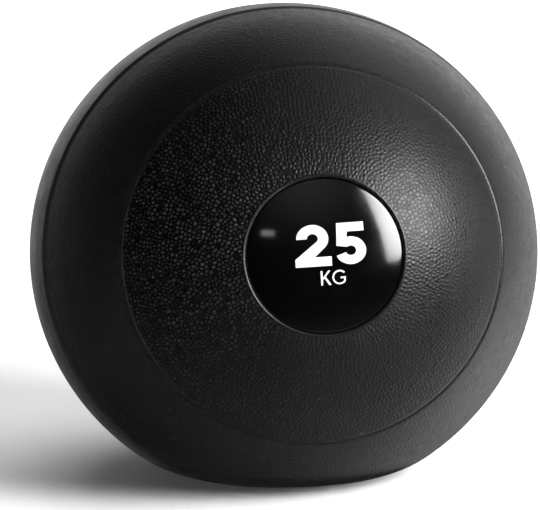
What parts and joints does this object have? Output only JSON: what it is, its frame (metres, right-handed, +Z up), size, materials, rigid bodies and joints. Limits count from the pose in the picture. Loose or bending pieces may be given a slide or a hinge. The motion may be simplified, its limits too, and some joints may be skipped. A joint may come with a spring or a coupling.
{
  "type": "medicine ball",
  "caption": "Round weighted ball that doesn't bounce, for throwing and lifting: grained half shells, smooth seam band, glossy pole discs, filler plug, bladder and loose iron sand.",
  "frame": {"origin": "centre of the flat base, on the floor under the middle of the ball", "axes": "+Z up; the front disc faces -Y and looks 11 degrees up; +X is to the right for someone who faces the front disc"},
  "size_m": [0.2822, 0.2804, 0.2613],
  "materials": {
    "grained_shell": "moulded pebble grain, satin",
    "smooth_band": "smooth, satin",
    "gloss_disc": "high gloss",
    "plug_rubber": "matt",
    "bladder_rubber": "dusted matt",
    "iron_sand": "loose grains"
  },
  "bodies": {
    "ball": {"front_shell": "grained_shell", "rear_shell": "grained_shell", "seam_band": "smooth_band", "front_disc": "gloss_disc", "rear_disc": "gloss_disc", "filler_plug": "plug_rubber", "inner_bladder": "bladder_rubber"},
    "fill": {"iron_sand_fill": "iron_sand"}
  },
  "joints": [
    {"name": "fill_turn", "type": "hinge", "parent": "ball", "child": "fill", "pos_m": [0, 0, 0.123], "axis": [0, 0, 1], "continuous": true}
  ]
}
